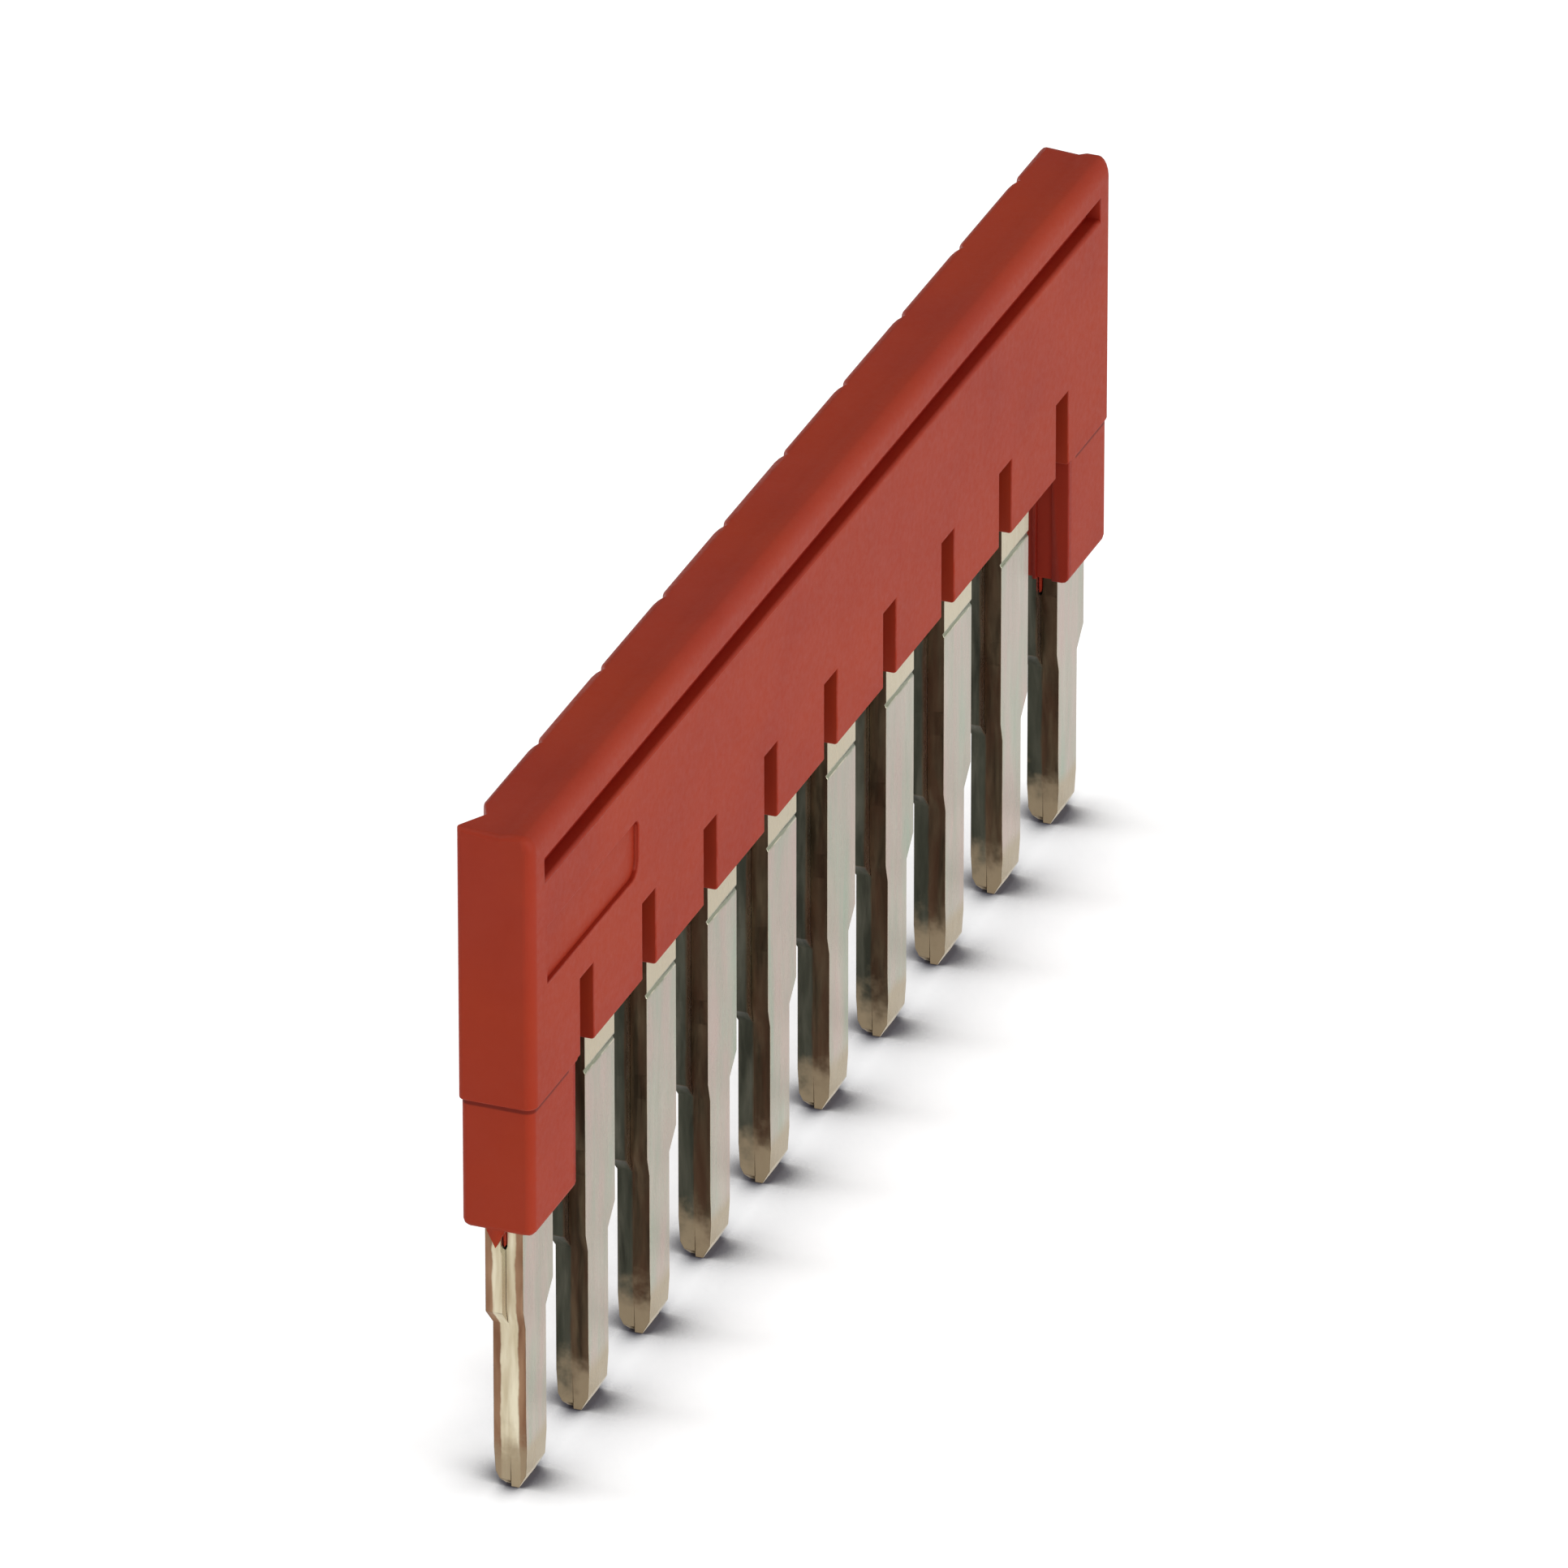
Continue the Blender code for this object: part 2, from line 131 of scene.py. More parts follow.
def makeGrainGroup():
    # two sizes of grain, drawn out by Stretch into scratches or drag lines
    group, given, made = newGroup("fineGrain", ["Coordinates", "Stretch", "Scale"], ["Grain"])
    stretch = addNode(group, "ShaderNodeVectorMath", "stretch", -650, 0, operation="MULTIPLY")
    group.links.new(given["Coordinates"], stretch.inputs[0])
    group.links.new(given["Stretch"], stretch.inputs[1])
    coarse = addNode(group, "ShaderNodeTexNoise", "coarse grain", -400, 150)
    setInputs(coarse, {"Detail": 2.0, "Roughness": 0.6})
    fine = addNode(group, "ShaderNodeTexNoise", "fine grain", -400, -150)
    setInputs(fine, {"Detail": 4.0, "Roughness": 0.65})
    finer = addNode(group, "ShaderNodeMath", "finer scale", -650, -220, operation="MULTIPLY")
    finer.inputs[1].default_value = grainSettings["finerBy"]
    group.links.new(given["Scale"], finer.inputs[0])
    for noise, scale in ((coarse, given["Scale"]), (fine, finer.outputs[0])):
        group.links.new(stretch.outputs[0], noise.inputs["Vector"])
        group.links.new(scale, noise.inputs["Scale"])
    both = addNode(group, "ShaderNodeMix", "blend grains", -100, 0, data_type="FLOAT")
    both.inputs[0].default_value = grainSettings["fineShare"]
    group.links.new(coarse.outputs["Fac"], both.inputs[2])
    group.links.new(fine.outputs["Fac"], both.inputs[3])
    group.links.new(both.outputs[0], made["Grain"])
    return group


def makeBorderGroup():
    # rises from 0 at Start to 1 at End as Value does, along a wavering border
    group, given, made = newGroup("waveringBorder",
                                  ["Coordinates", "Value", "Start", "End", "Waver", "Scale"], ["Mask"])
    noise = addNode(group, "ShaderNodeTexNoise", "waver", -650, -150)
    setInputs(noise, {"Detail": 3.0, "Roughness": 0.6})
    group.links.new(given["Coordinates"], noise.inputs["Vector"])
    group.links.new(given["Scale"], noise.inputs["Scale"])
    centred = addNode(group, "ShaderNodeMath", "centre", -400, -150, operation="SUBTRACT")
    centred.inputs[1].default_value = noiseMiddle
    group.links.new(noise.outputs["Fac"], centred.inputs[0])
    moved = addNode(group, "ShaderNodeMath", "move value", -150, 0, operation="MULTIPLY_ADD")
    group.links.new(centred.outputs[0], moved.inputs[0])
    group.links.new(given["Waver"], moved.inputs[1])
    group.links.new(given["Value"], moved.inputs[2])
    rise = addNode(group, "ShaderNodeMapRange", "rise", 150, 0, interpolation_type="SMOOTHSTEP")
    group.links.new(moved.outputs[0], rise.inputs["Value"])
    group.links.new(given["Start"], rise.inputs["From Min"])
    group.links.new(given["End"], rise.inputs["From Max"])
    group.links.new(rise.outputs[0], made["Mask"])
    return group


wearSettings = {"none": 0.35, "full": 0.62}  # levels of the noise between which wear sets in


def makeWearAndHighlightGroup():
    # broken wear and a painted highlight, only where the piece's edges were rounded over
    group, given, made = newGroup("edgeWearAndHighlight", ["Coordinates", "Edge", "Scale", "Amount"], ["Wear"])
    noise = addNode(group, "ShaderNodeTexNoise", "broken wear", -600, 0)
    setInputs(noise, {"Detail": 3.0, "Roughness": 0.6})
    group.links.new(given["Coordinates"], noise.inputs["Vector"])
    group.links.new(given["Scale"], noise.inputs["Scale"])
    spread = addNode(group, "ShaderNodeMapRange", "spread", -350, 0, interpolation_type="SMOOTHSTEP")
    setInputs(spread, {"From Min": wearSettings["none"], "From Max": wearSettings["full"]})
    group.links.new(noise.outputs["Fac"], spread.inputs["Value"])
    onEdge = addNode(group, "ShaderNodeMath", "on edges only", -100, 0, operation="MULTIPLY")
    group.links.new(spread.outputs[0], onEdge.inputs[0])
    group.links.new(given["Edge"], onEdge.inputs[1])
    scaled = addNode(group, "ShaderNodeMath", "amount", 150, 0, operation="MULTIPLY", use_clamp=True)
    group.links.new(onEdge.outputs[0], scaled.inputs[0])
    group.links.new(given["Amount"], scaled.inputs[1])
    group.links.new(scaled.outputs[0], made["Wear"])
    return group


cloudGroup = makeCloudGroup()
grainGroup = makeGrainGroup()
borderGroup = makeBorderGroup()
wearAndHighlightGroup = makeWearAndHighlightGroup()
print("node groups made")


# finishes: each starts as a plain surface with clouds, grain, worn edges with a painted highlight and two
# bumps

grainLow, grainHigh = 0.3, 0.7  # levels that the grain seldom leaves


class Finish:
    def __init__(self, name, look):
        self.look = look
        self.material, tree = newMaterial(name)
        self.tree = tree
        output = addNode(tree, "ShaderNodeOutputMaterial", "output", 1200, 0)
        self.shader = addNode(tree, "ShaderNodeBsdfPrincipled", "surface", 850, 0)
        setInputs(self.shader, look["shader"])
        tree.links.new(self.shader.outputs[0], output.inputs["Surface"])
        self.place = addNode(tree, "ShaderNodeTexCoord", "where on the piece", -1500, 0).outputs["Object"]
        self.parts = addNode(tree, "ShaderNodeSeparateXYZ", "along, across, up", -1300, -500).outputs
        tree.links.new(self.place, self.parts[0].node.inputs[0])
        self.clouds = placeGroup(tree, cloudGroup, "clouds", -900, 300, self.place,
                                 {"Scale": look["cloudScale"], "Stretch": look["cloudStretch"],
                                  "Contrast": look["cloudContrast"]})
        self.grain = placeGroup(tree, grainGroup, "grain", -900, 50, self.place,
                                {"Scale": look["grainScale"], "Stretch": look["grainStretch"]})

    def share(self, value, amount, label, x, y):
        node = addNode(self.tree, "ShaderNodeMath", label, x, y, operation="MULTIPLY")
        node.inputs[1].default_value = amount
        self.tree.links.new(value, node.inputs[0])
        return node.outputs[0]

    def fromMiddle(self, axis, label):
        node = addNode(self.tree, "ShaderNodeMath", label, -1100, -500, operation="ABSOLUTE")
        self.tree.links.new(self.parts[axis], node.inputs[0])
        return node.outputs[0]

    def fromLevel(self, level, label):
        off = addNode(self.tree, "ShaderNodeMath", "above " + label, -1100, -700, operation="SUBTRACT")
        off.inputs[1].default_value = level
        self.tree.links.new(self.parts[2], off.inputs[0])
        node = addNode(self.tree, "ShaderNodeMath", "from " + label, -900, -700, operation="ABSOLUTE")
        self.tree.links.new(off.outputs[0], node.inputs[0])
        return node.outputs[0]

    def border(self, label, value, span, waver=0.0, scale=600):
        # 0 where the value passes span's first number, 1 where it passes the second
        node = placeGroup(self.tree, borderGroup, label, -700, -500, self.place,
                          {"Start": span[0], "End": span[1], "Waver": waver, "Scale": scale})
        self.tree.links.new(value, node.inputs["Value"])
        return node.outputs["Mask"]

    def toneWhere(self, colour, label, tone, amount, places):
        # lays a tone over the colour where all of the places meet
        met = None
        for place, value, span in places:
            both = self.share(self.border(f"{label} {place}", value, span), amount, f"{label} and {place}",
                              350, 1100)
            if met:
                self.tree.links.new(met, both.node.inputs[1])
            met = both
        return mixColour(self.tree, label, 800, 900, colour, tone, met)

    def bodyColour(self, darker, lighter, tint):
        tree, look = self.tree, self.look
        body = mixColour(tree, "body colour", -500, 300, darker, lighter, self.clouds.outputs["Clouds"])
        tintShare = self.share(self.clouds.outputs["Tint"], look["tintShare"], "tint share", -500, 100)
        return mixColour(tree, "tint", -300, 300, body, tint, tintShare)

    def wornEdgesAndHighlight(self, colour, wearAndHighlightColour):
        # the edge colour is partly wear and partly a painted highlight along the rounded edges
        tree, look = self.tree, self.look
        softEdge = addNode(tree, "ShaderNodeAttribute", "rounded edges", -1200, -300,
                           attribute_name="softEdge")
        wear = placeGroup(tree, wearAndHighlightGroup, "wear", 100, -100, self.place,
                          {"Scale": look["wearScale"], "Amount": look["wearAmount"]})
        tree.links.new(softEdge.outputs["Fac"], wear.inputs["Edge"])
        return mixColour(tree, "worn edges and painted highlight", 400, 300, colour, wearAndHighlightColour, wear.outputs["Wear"])

    def close(self, colour):
        tree, look = self.tree, self.look
        tree.links.new(colour, self.shader.inputs["Base Color"])
        rough = addNode(tree, "ShaderNodeMapRange", "roughness", 400, 0)
        setInputs(rough, {"From Min": grainLow, "From Max": grainHigh,
                          "To Min": look["smoothest"], "To Max": look["roughest"]})
        tree.links.new(self.grain.outputs["Grain"], rough.inputs["Value"])
        tree.links.new(rough.outputs[0], self.shader.inputs["Roughness"])
        waves = addNode(tree, "ShaderNodeTexNoise", "gentle waves", 0, -350)
        setInputs(waves, {"Scale": look["waveScale"], "Detail": 1.0})
        tree.links.new(self.place, waves.inputs["Vector"])
        waveBump = addNode(tree, "ShaderNodeBump", "wave bump", 300, -350)
        setInputs(waveBump, {"Strength": 1.0, "Distance": look["waveHeight"]})
        tree.links.new(waves.outputs["Fac"], waveBump.inputs["Height"])
        grainBump = addNode(tree, "ShaderNodeBump", "grain bump", 550, -250)
        setInputs(grainBump, {"Strength": 1.0, "Distance": look["grainHeight"]})
        tree.links.new(self.grain.outputs["Grain"], grainBump.inputs["Height"])
        tree.links.new(waveBump.outputs[0], grainBump.inputs["Normal"])
        tree.links.new(grainBump.outputs[0], self.shader.inputs["Normal"])
        return self.material


redLook = {
    "shader": {"Metallic": 0.0, "IOR": 1.5, "Specular IOR Level": 0.16, "Subsurface Weight": 0.15,
               "Subsurface Radius": (1.0, 0.22, 0.12), "Subsurface Scale": 0.4 * mm},
    "darker": (0.375, 0.032, 0.011), "lighter": (0.435, 0.044, 0.018),
    "tint": (0.42, 0.058, 0.034), "tintShare": 0.4,
    "cloudScale": 300, "cloudStretch": (1, 1, 1), "cloudContrast": 1.6,
    "orange": (0.47, 0.050, 0.012), "orangeShare": 0.55,
    "orangeScale": 95, "orangeStretch": (1, 1, 1.4), "orangeContrast": 3.0,
    "grainScale": 3500, "grainStretch": (1, 1, 1), "grainHeight": 0.006 * mm,
    "smoothest": 0.42, "roughest": 0.58, "waveScale": 260, "waveHeight": 0.012 * mm,
    # edge: lighter colour on rounded edges, partly wear and partly a painted highlight
    "edge": (0.50, 0.10, 0.07), "wearScale": 900, "wearAmount": 0.5,
    # the crease colour is a painted shade, laid into creases, the deep groove and the inner side of each leg
    "creaseShade": (0.29, 0.011, 0.005), "creaseShadeReach": 0.8 * mm, "creaseShadeShare": 0.85,
    "creaseNone": 0.95, "creaseFull": 0.35,
    # places: a tone starts at the first number and is full at the second
    # painted shadow under the step, on the legs
    "stepShadowColour": (0.12, 0.008, 0.004), "stepShadowShare": 0.7,
    "stepLevel": 16.42 * mm, "stepShadowBand": (0.12 * mm, 0.036 * mm), "onLeg": (26.45 * mm, 26.5 * mm),
    "grooveShadeShare": 0.35, "grooveLip": (25.2 * mm, 25.3 * mm), "grooveRim": (26.4 * mm, 26.3 * mm),
    "grooveEnds": (28.9 * mm, 28.8 * mm), "grooveMouth": (-1.49 * mm, -1.38 * mm),
    "grooveBack": (-0.7 * mm, -0.8 * mm),
    "innerLegShadeShare": 0.5, "innerPin": (25.7 * mm, 25.78 * mm), "innerWall": (26.1 * mm, 26.02 * mm),
    "innerTop": (16.52 * mm, 16.42 * mm),
}


def makeMouldedRed(look):
    finish = Finish("mouldedRed", look)
    tree = finish.tree
    colour = finish.bodyColour(look["darker"], look["lighter"], look["tint"])
    broad = placeGroup(tree, cloudGroup, "broad tone", -700, 700, finish.place,
                       {"Scale": look["orangeScale"], "Stretch": look["orangeStretch"],
                        "Contrast": look["orangeContrast"]})
    orangeShare = finish.share(broad.outputs["Tint"], look["orangeShare"], "orange share", -450, 700)
    colour = mixColour(tree, "orange tone", -200, 500, colour, look["orange"], orangeShare)
    colour = finish.wornEdgesAndHighlight(colour, look["edge"])
    # painted shade: ambient occlusion darkens the red in creases and corners
    creaseShade = addNode(tree, "ShaderNodeAmbientOcclusion", "crease occlusion", 150, 700, samples=4)
    creaseShade.inputs["Distance"].default_value = look["creaseShadeReach"]
    creaseShadeShare = addNode(tree, "ShaderNodeMapRange", "crease share", 350, 700)
    setInputs(creaseShadeShare, {"From Min": look["creaseNone"], "From Max": look["creaseFull"],
                            "To Max": look["creaseShadeShare"]})
    tree.links.new(creaseShade.outputs["AO"], creaseShadeShare.inputs["Value"])
    colour = mixColour(tree, "painted crease shade", 600, 500, colour, look["creaseShade"], creaseShadeShare.outputs[0])
    along, across, up = finish.fromMiddle(0, "along the bar"), finish.parts[1], finish.parts[2]
    # painted shadow: a dark band on the legs just under the step of the body
    colour = finish.toneWhere(colour, "painted step shadow", look["stepShadowColour"], look["stepShadowShare"], [
        ("at the step", finish.fromLevel(look["stepLevel"], "the step"), look["stepShadowBand"]),
        ("on a leg", along, look["onLeg"])])
    # painted shade in the deep groove along the front
    colour = finish.toneWhere(colour, "painted groove shade", look["creaseShade"], look["grooveShadeShare"], [
        ("above the lip", up, look["grooveLip"]),
        ("below the rim", up, look["grooveRim"]),
        ("between the ends", along, look["grooveEnds"]),
        ("behind the front", across, look["grooveMouth"]),
        ("in the front half", across, look["grooveBack"])])
    # painted shade on the inner side of each leg, beside its pin
    colour = finish.toneWhere(colour, "inner side of a leg", look["creaseShade"], look["innerLegShadeShare"], [
        ("past the pin", along, look["innerPin"]),
        ("before the wall", along, look["innerWall"]),
        ("below the body", up, look["innerTop"])])
    return finish.close(colour)


mouldedRed = makeMouldedRed(redLook)

tinLook = {
    "shader": {"Metallic": 1.0, "IOR": 1.5},
    "darker": (0.57, 0.54, 0.44), "lighter": (0.69, 0.64, 0.54),
    "tint": (0.45, 0.54, 0.42), "tintShare": 0.9,
    "cloudScale": 260, "cloudStretch": (4, 1, 0.6), "cloudContrast": 2.8,
    "pink": (0.68, 0.53, 0.47), "pinkShare": 0.85,
    "pinkScale": 190, "pinkStretch": (4, 1, 0.7), "pinkContrast": 3.2,
    "grainScale": 1600, "grainStretch": (3, 3, 0.35), "grainHeight": 0.0012 * mm,
    "smoothest": 0.16, "roughest": 0.34, "waveScale": 420, "waveHeight": 0.02 * mm,
    # edge: lighter colour on rounded edges, partly wear and partly a painted highlight
    "edge": (0.80, 0.73, 0.58), "wearScale": 1500, "wearAmount": 0.8,
    # places: a tone starts at the first number and is full at the second, and its border wavers
    "beige": (0.56, 0.47, 0.33), "foot": (2.3 * mm, 1.5 * mm), "footWaver": 0.8 * mm,
    "cream": (0.74, 0.66, 0.48), "neck": (14.47 * mm, 14.67 * mm), "neckWaver": 0.1 * mm,
    "breakShadeColour": (0.34, 0.36, 0.26), "breakLevel": 14.47 * mm, "breakLine": (0.2 * mm, 0.1 * mm),
    "breakWaver": 0.05 * mm,
}


def makeTinnedFace(look):
    finish = Finish("tinnedFace", look)
    tree = finish.tree
    colour = finish.bodyColour(look["darker"], look["lighter"], look["tint"])
    blush = placeGroup(tree, cloudGroup, "pink blush", -700, 700, finish.place,
                       {"Scale": look["pinkScale"], "Stretch": look["pinkStretch"],
                        "Contrast": look["pinkContrast"]})
    pinkShare = finish.share(blush.outputs["Tint"], look["pinkShare"], "pink share", -450, 700)
    colour = mixColour(tree, "pink blush over", -200, 500, colour, look["pink"], pinkShare)
    height = finish.parts[2]
    # beige toward the foot: partly the coined foot's own tone, partly a painted reflection of the floor
    foot = finish.border("coined foot and floor reflection", height, look["foot"], look["footWaver"])
    colour = mixColour(tree, "beige foot and painted floor reflection", 0, 500, colour, look["beige"], foot)
    above = finish.border("above the break line", height, look["neck"], look["neckWaver"])
    colour = mixColour(tree, "cream above", 150, 500, colour, look["cream"], above)
    # painted shade: a dark band laid along the break line score
    line = finish.border("break line", finish.fromLevel(look["breakLevel"], "the break line"),
                         look["breakLine"], look["breakWaver"])
    colour = mixColour(tree, "painted shade in the break line", 300, 500, colour, look["breakShadeColour"], line)
    return finish.close(finish.wornEdgesAndHighlight(colour, look["edge"]))


tinnedFace = makeTinnedFace(tinLook)

cutLook = {
    "shader": {"Metallic": 1.0, "IOR": 1.5},
    "brownDark": (0.05, 0.036, 0.022), "brownLight": (0.155, 0.112, 0.068),
    "brownTint": (0.095, 0.045, 0.026), "greenDark": (0.045, 0.046, 0.034),
    "greenLight": (0.12, 0.118, 0.09), "greenTint": (0.054, 0.058, 0.042), "tintShare": 0.7,
    "cloudScale": 900, "cloudStretch": (1, 2, 0.3), "cloudContrast": 3.6,
    "grainScale": 2200, "grainStretch": (1, 1.6, 0.5), "grainHeight": 0.003 * mm,
    "smoothest": 0.28, "roughest": 0.5, "waveScale": 700, "waveHeight": 0.02 * mm,
    "edge": (0.16, 0.12, 0.085), "wearScale": 1800, "wearAmount": 0.5,
    # copper and cream are the painted-lit colours of the end pins' cut edges; the brown and green above are
    # the painted-shaded row
    "copperDark": (0.25, 0.125, 0.07), "copperLight": (0.42, 0.25, 0.15),
    "creamLight": (0.95, 0.87, 0.66), "creamDark": (0.70, 0.60, 0.41),
    # the lighter colour at the feet is a painted reflection of the floor
    "footFloorReflection": (0.40, 0.31, 0.20), "footReflectionShare": 0.85,
    # places: a tone starts at the first number and is full at the second, and its border wavers
    "frontLeaf": (0.12 * mm, 0.0), "frontWaver": 0.15 * mm, "frontScale": 500,
    "litEndPins": (28.3 * mm, 28.5 * mm),
    "copperHalf": (0.33 * mm, 0.41 * mm), "copperWaver": 0.16 * mm, "copperScale": 900,
    "foot": (2.8 * mm, 0.7 * mm), "footWaver": 3.6 * mm, "footScale": 1000,
}


def makeShearedEdge(look):
    # inside the row the front leaf is brown and the rear one greenish, both darkened as painted shade between
    # the pins; on the end pins, painted lighter as if lit, the punch left a smooth cream band on the inner
    # half of the edge and torn copper on the outer half
    finish = Finish("shearedEdge", look)
    tree = finish.tree
    brown = finish.bodyColour(look["brownDark"], look["brownLight"], look["brownTint"])
    green = finish.bodyColour(look["greenDark"], look["greenLight"], look["greenTint"])
    # painted light and shade: cut edges inside the row are dark, as if shaded by the neighbouring pins, and
    # those of the end pins light
    onLitEndPins = finish.border("painted light on an end pin", finish.fromMiddle(0, "along the bar"),
                              look["litEndPins"])
    onFrontLeaf = finish.border("front leaf", finish.parts[1], look["frontLeaf"], look["frontWaver"],
                                look["frontScale"])
    shadedRow = mixColour(tree, "brown beside green", -100, 500, green, brown, onFrontLeaf)
    onOuterHalf = finish.border("outer half", finish.fromMiddle(1, "across the leaf"), look["copperHalf"],
                                look["copperWaver"], look["copperScale"])
    copper = mixColour(tree, "torn copper, painted lit", -300, 900, look["copperDark"], look["copperLight"],
                       finish.clouds.outputs["Clouds"])
    cream = mixColour(tree, "smeared tin, painted lit", -300, 1100, look["creamLight"], look["creamDark"],
                      finish.clouds.outputs["Tint"])
    atEnd = mixColour(tree, "copper beside cream", -100, 900, cream, copper, onOuterHalf)
    colour = mixColour(tree, "painted shade in the row, light on the end pins", 100, 500, shadedRow, atEnd, onLitEndPins)
    # painted reflection: the cut edges grow lighter toward the feet, as if mirroring the floor, along a
    # mottled border
    foot = finish.border("mottled border of the floor reflection", finish.parts[2], look["foot"], look["footWaver"], look["footScale"])
    footShare = finish.share(foot, look["footReflectionShare"], "foot share", 0, 100)
    colour = mixColour(tree, "painted floor reflection on the feet", 250, 500, colour, look["footFloorReflection"], footShare)
    return finish.close(finish.wornEdgesAndHighlight(colour, look["edge"]))


shearedEdge = makeShearedEdge(cutLook)
print("finishes made")


# pieces: each CAD node's form with its sharp edges rounded over

def roundedCopy(mesh, pieceName, sizes, reshape=None):
    bm = bmesh.new()
    bm.from_mesh(mesh)
    bmesh.ops.remove_doubles(bm, verts=bm.verts, dist=sizes["weld"])
    bmesh.ops.dissolve_limit(bm, angle_limit=math.radians(sizes["flatDegrees"]), verts=bm.verts,
                             edges=bm.edges)
    if reshape:
        reshape(bm)
    softEdge = bm.faces.layers.float.new("softEdge")

    def rounds(edge):
        # edges in the pockets and between the leaves stay sharp
        hidden = all(abs(corner.co.y) < sizes["hiddenHalf"] and abs(corner.co.x) < sizes["hiddenReach"]
                     for corner in edge.verts)
        return edge.is_convex and not hidden and edge.calc_face_angle(0) > math.radians(sizes["sharpDegrees"])

    made = bmesh.ops.bevel(bm, geom=[edge for edge in bm.edges if rounds(edge)], offset=sizes["rounding"],
                           offset_type="OFFSET", segments=sizes["steps"], profile=0.5, affect="EDGES",
                           clamp_overlap=False)
    for face in made["faces"]:
        face[softEdge] = 1.0
    mesh = bpy.data.meshes.new(pieceName)
    bm.to_mesh(mesh)
    print(pieceName, len(bm.verts), "points", len(bm.faces), "faces, open edges:",
          sum(not edge.is_manifold for edge in bm.edges))
    bm.free()
    mesh.shade_smooth()
    mesh.set_sharp_from_angle(angle=math.radians(sizes["shadeDegrees"]))
    piece = bpy.data.objects.new(pieceName, mesh)
    bpy.context.scene.collection.objects.link(piece)
    even = piece.modifiers.new("evenShading", "WEIGHTED_NORMAL")
    even.keep_sharp = True
    return piece


housingSizes = {
    "weld": 0.03 * mm, "flatDegrees": 0.6, "sharpDegrees": 30, "shadeDegrees": 44,
    "rounding": 0.06 * mm, "steps": 3, "hiddenHalf": 0.95 * mm, "hiddenReach": 30 * mm,
    "wallX": (25.85 * mm, 26.41 * mm), "wallHalf": 0.9 * mm, "wallZ": (11.3 * mm, 17.0 * mm),
}


def addBlock(bm, low, high):
    block = bmesh.ops.create_cube(bm, size=1)["verts"]
    for corner in block:
        corner.co = [(low[i] + high[i]) / 2 + corner.co[i] * (high[i] - low[i]) for i in range(3)]


def closeLegs(cadMesh, sizes):
    # the inner side of each leg is closed beside its pin
    walls = bmesh.new()
    half = sizes["wallHalf"]
    for side in (-1, 1):
        low, high = sorted(side * x for x in sizes["wallX"])
        addBlock(walls, (low, -half, sizes["wallZ"][0]), (high, half, sizes["wallZ"][1]))
    wallMesh = bpy.data.meshes.new("legWalls")
    walls.to_mesh(wallMesh)
    walls.free()
    body = bpy.data.objects.new("closedBody", cadMesh.copy())
    tool = bpy.data.objects.new("legWalls", wallMesh)
    for item in (body, tool):
        bpy.context.scene.collection.objects.link(item)
    join = body.modifiers.new("join", "BOOLEAN")
    join.operation, join.solver, join.object = "UNION", "EXACT", tool
    closed = bpy.data.meshes.new_from_object(body.evaluated_get(bpy.context.evaluated_depsgraph_get()))
    for item in (body, tool):
        bpy.data.objects.remove(item)
    return closed


closedMesh = closeLegs(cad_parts["housing"].data, housingSizes)
housing = roundedCopy(closedMesh, "mouldedHousing", housingSizes)
housing.data.materials.clear()
housing.data.materials.append(mouldedRed)
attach(housing, "root")
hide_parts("housing")

combSizes = {
    "weld": 0.01 * mm, "flatDegrees": 0.6, "sharpDegrees": 20, "shadeDegrees": 50,
    "rounding": 0.035 * mm, "steps": 2, "hiddenHalf": 0.2 * mm, "hiddenReach": 40 * mm,
    "cutEdge": 0.6,  # faces whose normal has less than this across the bar are sheared edges
    "endPinReach": 26 * mm, "plastic": 16.52 * mm, "plasticAtEnds": 11.22 * mm,  # underside of the plastic
    "innerReach": 0.2 * mm, "level": 0.01 * mm,  # points this little above a level count as under it
    # depths under the plastic, and half the gap between the leaves there
    "apartUnder": 0.02 * mm, "openUnder": 0.12 * mm, "wedgeHalf": 0.06 * mm,
    "wedgeUnder": 0.97 * mm, "closedUnder": 1.12 * mm, "closedHalf": 0.005 * mm,
    "bevelFoot": (0.30 * mm, 0.0), "bevelTop": (0.59 * mm, 0.55 * mm),  # from the middle, and up
}


def cutPlane(bm, point, normal, dropOuter=False):
    bmesh.ops.bisect_plane(bm, geom=bm.verts[:] + bm.edges[:] + bm.faces[:], plane_co=point,
                           plane_no=normal, clear_outer=dropOuter)


def shapeLeaves(bm):
    # below the plastic the two leaves of a pin close up, and each foot is bevelled on its outer side
    sizes = combSizes
    side = 1 if sum(corner.co.y for corner in bm.verts) > 0 else -1
    for plastic in (sizes["plastic"], sizes["plasticAtEnds"]):
        for depth in ("closedUnder", "wedgeUnder", "openUnder", "apartUnder"):
            cutPlane(bm, (0, 0, plastic - sizes[depth]), (0, 0, 1))
    for corner in bm.verts:
        atEnd = abs(corner.co.x) > sizes["endPinReach"]
        under = sizes["plasticAtEnds" if atEnd else "plastic"] - corner.co.z + sizes["level"]
        if abs(corner.co.y) < sizes["innerReach"] and under > sizes["openUnder"]:
            closed = under > sizes["closedUnder"]
            corner.co.y = side * sizes["closedHalf" if closed else "wedgeHalf"]
    (footY, footZ), (topY, topZ) = sizes["bevelFoot"], sizes["bevelTop"]
    cutPlane(bm, (0, side * footY, footZ), (0, side * (topZ - footZ), footY - topY), dropOuter=True)
    bmesh.ops.holes_fill(bm, edges=[edge for edge in bm.edges if edge.is_boundary], sides=0)
    bmesh.ops.recalc_face_normals(bm, faces=bm.faces)


